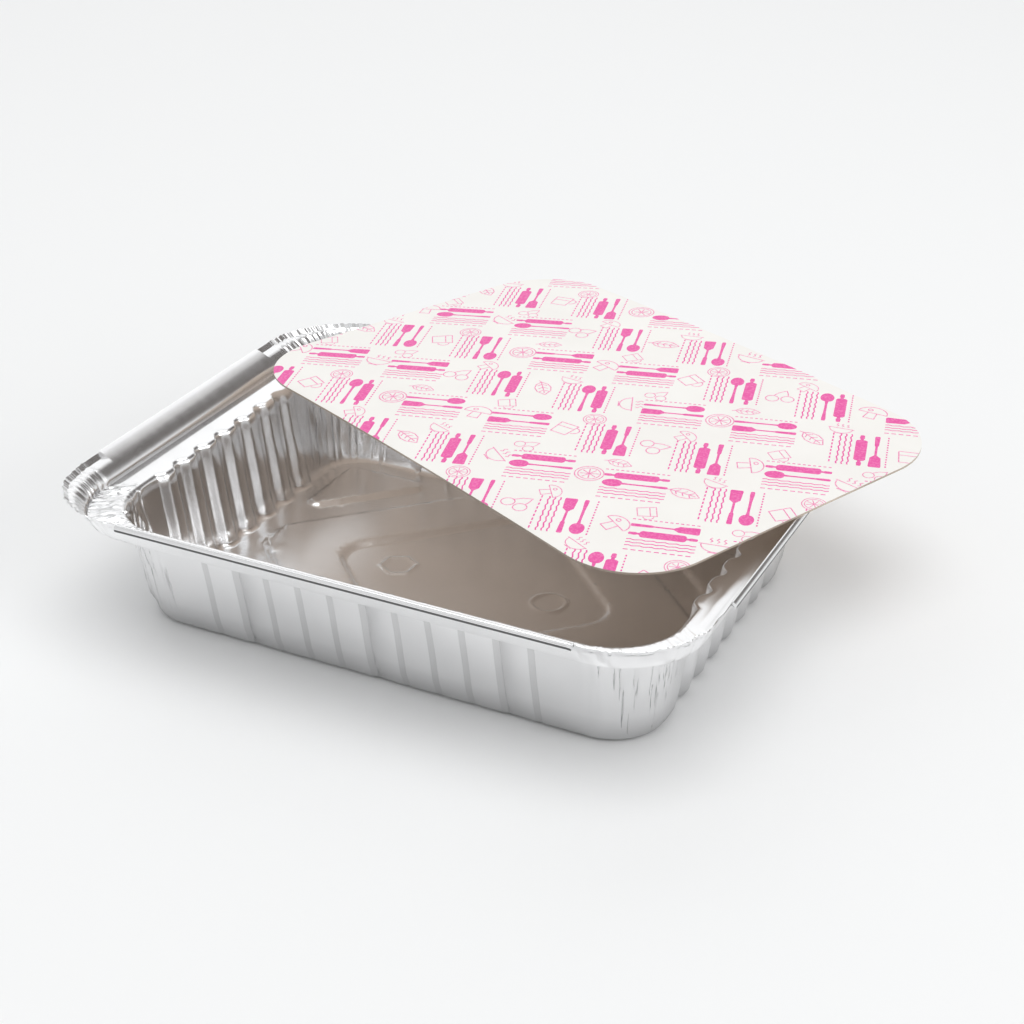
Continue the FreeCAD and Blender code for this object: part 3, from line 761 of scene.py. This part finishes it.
def objectParts(tree):  # the place of a point on its piece: X, Y and Z
    place = tree.nodes.new("ShaderNodeTexCoord")
    parts = tree.nodes.new("ShaderNodeSeparateXYZ")
    tree.links.new(place.outputs["Object"], parts.inputs["Vector"])
    return parts.outputs


def noiseNode(tree, scale, detail, stretch=(1, 1, 1)):
    place = tree.nodes.new("ShaderNodeTexCoord")
    mapping = tree.nodes.new("ShaderNodeMapping")
    mapping.inputs["Scale"].default_value = stretch
    noise = tree.nodes.new("ShaderNodeTexNoise")
    noise.inputs["Scale"].default_value = scale
    noise.inputs["Detail"].default_value = detail
    tree.links.new(place.outputs["Object"], mapping.inputs["Vector"])
    tree.links.new(mapping.outputs["Vector"], noise.inputs["Vector"])
    return noise.outputs["Fac"]


def shareNode(tree, source, start, end):  # 0 at the start, 1 at the end
    share = tree.nodes.new("ShaderNodeMapRange")
    share.inputs["From Min"].default_value = start
    share.inputs["From Max"].default_value = end
    tree.links.new(source, share.inputs["Value"])
    return share.outputs["Result"]


def rampNode(tree, source, stops):
    ramp = tree.nodes.new("ShaderNodeValToRGB")
    points = ramp.color_ramp.elements
    while len(points) < len(stops):
        points.new(0.5)
    for point, (position, colour) in zip(points, stops):
        point.position = position
        point.color = (*colour, 1)
    tree.links.new(source, ramp.inputs["Fac"])
    return ramp.outputs["Color"]


def multiplyNode(tree, first, second):
    blend = tree.nodes.new("ShaderNodeMix")
    blend.data_type = "RGBA"
    blend.blend_type = "MULTIPLY"
    blend.inputs["Factor"].default_value = 1.0
    tree.links.new(first, blend.inputs["A"])
    tree.links.new(second, blend.inputs["B"])
    return blend.outputs["Result"]


def bumpNode(tree, source, strength, distance):
    bump = tree.nodes.new("ShaderNodeBump")
    bump.inputs["Strength"].default_value = strength
    bump.inputs["Distance"].default_value = distance
    tree.links.new(source, bump.inputs["Height"])
    return bump.outputs["Normal"]


# finish of the foil, heights in metres
foilFinish = {
    "grain": 0.75,                                 # how far reflections are drawn out
    "baseGrain": (0.0, 1.0, 0.3),                  # and which way on the base
    "grainTurn": (0.002, 0.004),                   # between these heights the base's way becomes the wall's
    "cloud": (60, 3.0, 0.3, 0.7, 0.95),            # scale, detail, range, darkest tone
    "rolling": (500, 2.0, (0.05, 1, 1), 0.3, 0.75),   # fine lines: scale, detail, stretch, range
    "roughness": (0.23, 0.26),
    "dents": (160, 2.0, 0.04, 0.00008),            # scale, detail, strength, depth
    "top": 0.040, "blue": 1.006,
    "tones": {                                     # tone at each height; on the outer face painted shade towards the foot and a painted highlight on the flange
        "innerFoil": ((0.0, 0.90), (0.040, 0.90)),
        "outerFoil": ((0.0, 0.56), (0.009, 0.85), (0.0325, 0.93), (0.0335, 1.0)),
        "paintedGrooveShadeFoil": ((0.0, 0.56), (0.009, 0.70), (0.0325, 0.74), (0.0335, 0.74)),   # painted shade in the long grooves, darker than the outer face beside them and darkest towards the foot
        # a painted shadow line under the hem's roll, where there is only shade
        "paintedHemShadowFoil": ((0.0, 0.13), (0.040, 0.13)),
    },
}


def foilMaterial(name):  # reflections are drawn out round the walls and across the base
    material, tree, shader = newMaterial(name)
    shader.inputs["Metallic"].default_value = 1.0
    shader.inputs["Anisotropic"].default_value = foilFinish["grain"]
    height = objectParts(tree)["Z"]
    across = tree.nodes.new("ShaderNodeCombineXYZ")
    for axis, value in zip("XYZ", foilFinish["baseGrain"]):
        across.inputs[axis].default_value = value
    around = tree.nodes.new("ShaderNodeTangent")
    around.direction_type = "RADIAL"
    around.axis = "Z"
    grainWay = tree.nodes.new("ShaderNodeMix")
    grainWay.data_type = "VECTOR"
    tree.links.new(shareNode(tree, height, *foilFinish["grainTurn"]), grainWay.inputs["Factor"])
    tree.links.new(across.outputs["Vector"], grainWay.inputs["A"])
    tree.links.new(around.outputs["Tangent"], grainWay.inputs["B"])
    tree.links.new(grainWay.outputs["Result"], shader.inputs["Tangent"])
    top, blue = foilFinish["top"], foilFinish["blue"]
    # tone by height: on the outer face this paints shade towards the foot and a brighter flange
    stops = [(z / top, (t, t, t * blue)) for z, t in foilFinish["tones"][name]]
    base = rampNode(tree, shareNode(tree, height, 0.0, top), stops)
    scale, detail, low, high, dark = foilFinish["cloud"]
    cloud = rampNode(tree, noiseNode(tree, scale, detail), [(low, (dark,) * 3), (high, (1.0,) * 3)])
    tree.links.new(multiplyNode(tree, base, cloud), shader.inputs["Base Color"])
    scale, detail, stretch, low, high = foilFinish["rolling"]
    fine, coarse = foilFinish["roughness"]
    gloss = rampNode(tree, noiseNode(tree, scale, detail, stretch), [(low, (fine,) * 3), (high, (coarse,) * 3)])
    tree.links.new(gloss, shader.inputs["Roughness"])
    scale, detail, strength, depth = foilFinish["dents"]
    tree.links.new(bumpNode(tree, noiseNode(tree, scale, detail), strength, depth), shader.inputs["Normal"])
    return material


# finish of the card and its inks; glow is a painted glow on the underside: strength, reach along X in metres,
# tones at both ends
cardFinish = {
    "cardFace": {"light": (0.875, 0.86, 0.825), "dark": (0.85, 0.83, 0.795), "roughness": 0.55, "grain": 0.25},
    "cardEdge": {"light": (0.55, 0.47, 0.40), "dark": (0.42, 0.35, 0.29), "roughness": 0.8, "grain": 0.6},
    "cardBack": {"light": (0.70, 0.60, 0.52), "dark": (0.64, 0.545, 0.47), "roughness": 0.75, "grain": 0.5,
                 "glow": (0.24, -0.065, 0.035, (1.0, 0.86, 0.74), (0.22, 0.165, 0.12))},
}
paperGrain = {  # scale and detail, then range or depth
    "cloud": (45, 2.0, 0.35, 0.65),
    "fibre": (900, 3.0, 0.00004),
}
inkFinish = {
    "pinkInk": {"full": (0.78, 0.06, 0.34), "worn": (0.83, 0.16, 0.43)},
    "paleInk": {"full": (0.80, 0.20, 0.42), "worn": (0.86, 0.42, 0.58)},
}
inkGrain = {"speck": (1500, 2.0, 0.36, 0.56), "roughness": 0.5}


def cardMaterial(name, light, dark, roughness, grain, glow=None):
    material, tree, shader = newMaterial(name)
    scale, detail, low, high = paperGrain["cloud"]
    tint = rampNode(tree, noiseNode(tree, scale, detail), [(low, dark), (high, light)])
    tree.links.new(tint, shader.inputs["Base Color"])
    shader.inputs["Roughness"].default_value = roughness
    scale, detail, depth = paperGrain["fibre"]
    fibre = bumpNode(tree, noiseNode(tree, scale, detail), grain, depth)
    tree.links.new(fibre, shader.inputs["Normal"])
    if glow:  # painted glow standing in for daylight through the thin card, brighter towards the left
        strength, start, end, bright, dim = glow
        share = shareNode(tree, objectParts(tree)["X"], start, end)
        tree.links.new(rampNode(tree, share, [(0.0, bright), (1.0, dim)]), shader.inputs["Emission Color"])
        shader.inputs["Emission Strength"].default_value = strength
    return material


def inkMaterial(name, full, worn):
    material, tree, shader = newMaterial(name)
    scale, detail, low, high = inkGrain["speck"]
    tint = rampNode(tree, noiseNode(tree, scale, detail), [(low, worn), (high, full)])
    tree.links.new(tint, shader.inputs["Base Color"])
    shader.inputs["Roughness"].default_value = inkGrain["roughness"]
    return material


for number, name in enumerate(tray["finishes"]):
    foilTray.data.materials[number] = foilMaterial(name)
for number, name in enumerate(lid["finishes"]):
    if name in cardFinish:
        cardLid.data.materials[number] = cardMaterial(name, **cardFinish[name])
    else:
        cardLid.data.materials[number] = inkMaterial(name, **inkFinish[name])
print("finishes made")


# floor, room, lamps and camera, in metres
stageSet = {
    "floorSize": 6.0, "floorHeight": -0.0001, "floorTone": (0.88, 0.885, 0.885), "floorRoughness": 0.8,
    "zenith": (0.66, 0.665, 0.67), "horizon": (0.86, 0.865, 0.87), "zenithAt": 0.8,
    "dimSides": (((0.31, 0.73, 0.61), 0.88, 0.96, (0.15, 0.13, 0.12)),    # towards, outer, inner, tone
                 ((0.10, -0.93, 0.30), 0.80, 0.97, (0.40, 0.38, 0.37))),
    "lamps": {                                                            # place, aim, size, watts
        "topLamp": ((0.15, -0.15, 1.9), (0, 0, 0), (1.7, 1.4), 14.0),
        "rightLamp": ((1.9, -0.1, 0.8), (0.1, 0, 0), (1.2, 1.0), 9.0),
        "frontLamp": ((-0.4, -1.8, 1.0), (0, 0, 0), (1.5, 1.1), 1.3),
        "backLamp": ((-0.95, 1.45, 1.0), (0, 0, 0), (2.0, 1.7), 4.8),
    },
    "camera": (0.22135, -0.42183, 0.27794), "yaw": -0.4595, "pitch": 0.4905,
    "sensor": 36, "lens": 67.95, "clipStart": 0.01,                       # millimetres, and metres
}
bpy.ops.object.select_all(action="DESELECT")
bpy.ops.mesh.primitive_plane_add(size=stageSet["floorSize"], location=(0, 0, stageSet["floorHeight"]))
floor = bpy.context.active_object
floor.name = "studioFloor"
floorMaterial, _, floorShader = newMaterial("paleFloor")
floorShader.inputs["Base Color"].default_value = (*stageSet["floorTone"], 1)
floorShader.inputs["Roughness"].default_value = stageSet["floorRoughness"]
floor.data.materials.append(floorMaterial)

world = bpy.data.worlds.new("studio")
bpy.context.scene.world = world
world.use_nodes = True
sky = world.node_tree
direction = sky.nodes.new("ShaderNodeTexCoord").outputs["Generated"]
parts = sky.nodes.new("ShaderNodeSeparateXYZ")
sky.links.new(direction, parts.inputs["Vector"])
skyStops = [(0.0, stageSet["horizon"]), (stageSet["zenithAt"], stageSet["zenith"])]
tone = rampNode(sky, parts.outputs["Z"], skyStops)
for towards, outer, inner, shade in stageSet["dimSides"]:  # dim parts of the room, for the foil to mirror
    facing = sky.nodes.new("ShaderNodeVectorMath")
    facing.operation = "DOT_PRODUCT"
    facing.inputs[1].default_value = Vector(towards).normalized()
    sky.links.new(direction, facing.inputs[0])
    dimTone = rampNode(sky, facing.outputs["Value"], [(outer, (1.0, 1.0, 1.0)), (inner, shade)])
    tone = multiplyNode(sky, tone, dimTone)
sky.links.new(tone, sky.nodes["Background"].inputs["Color"])
sky.nodes["Background"].inputs["Strength"].default_value = 1.0

for name, (place, aim, size, power) in stageSet["lamps"].items():
    light = bpy.data.lights.new(name, "AREA")
    light.shape = "RECTANGLE"
    light.size, light.size_y = size
    light.energy = power
    lamp = bpy.data.objects.new(name, light)
    lamp.location = place
    lamp.rotation_euler = (Vector(aim) - Vector(place)).to_track_quat("-Z", "Y").to_euler()
    bpy.context.scene.collection.objects.link(lamp)

camera = bpy.data.cameras.new("photoCamera")
camera.sensor_width = stageSet["sensor"]
camera.lens = stageSet["lens"]
camera.clip_start = stageSet["clipStart"]
cameraItem = bpy.data.objects.new("photoCamera", camera)
bpy.context.scene.collection.objects.link(cameraItem)
yaw, pitch = stageSet["yaw"], stageSet["pitch"]
heading = Vector((math.sin(yaw) * math.cos(pitch), math.cos(yaw) * math.cos(pitch), -math.sin(pitch)))
cameraItem.location = stageSet["camera"]
cameraItem.rotation_euler = heading.to_track_quat("-Z", "Y").to_euler()
bpy.context.scene.camera = cameraItem
bpy.context.scene.view_settings.view_transform = "Standard"
print("stage set")
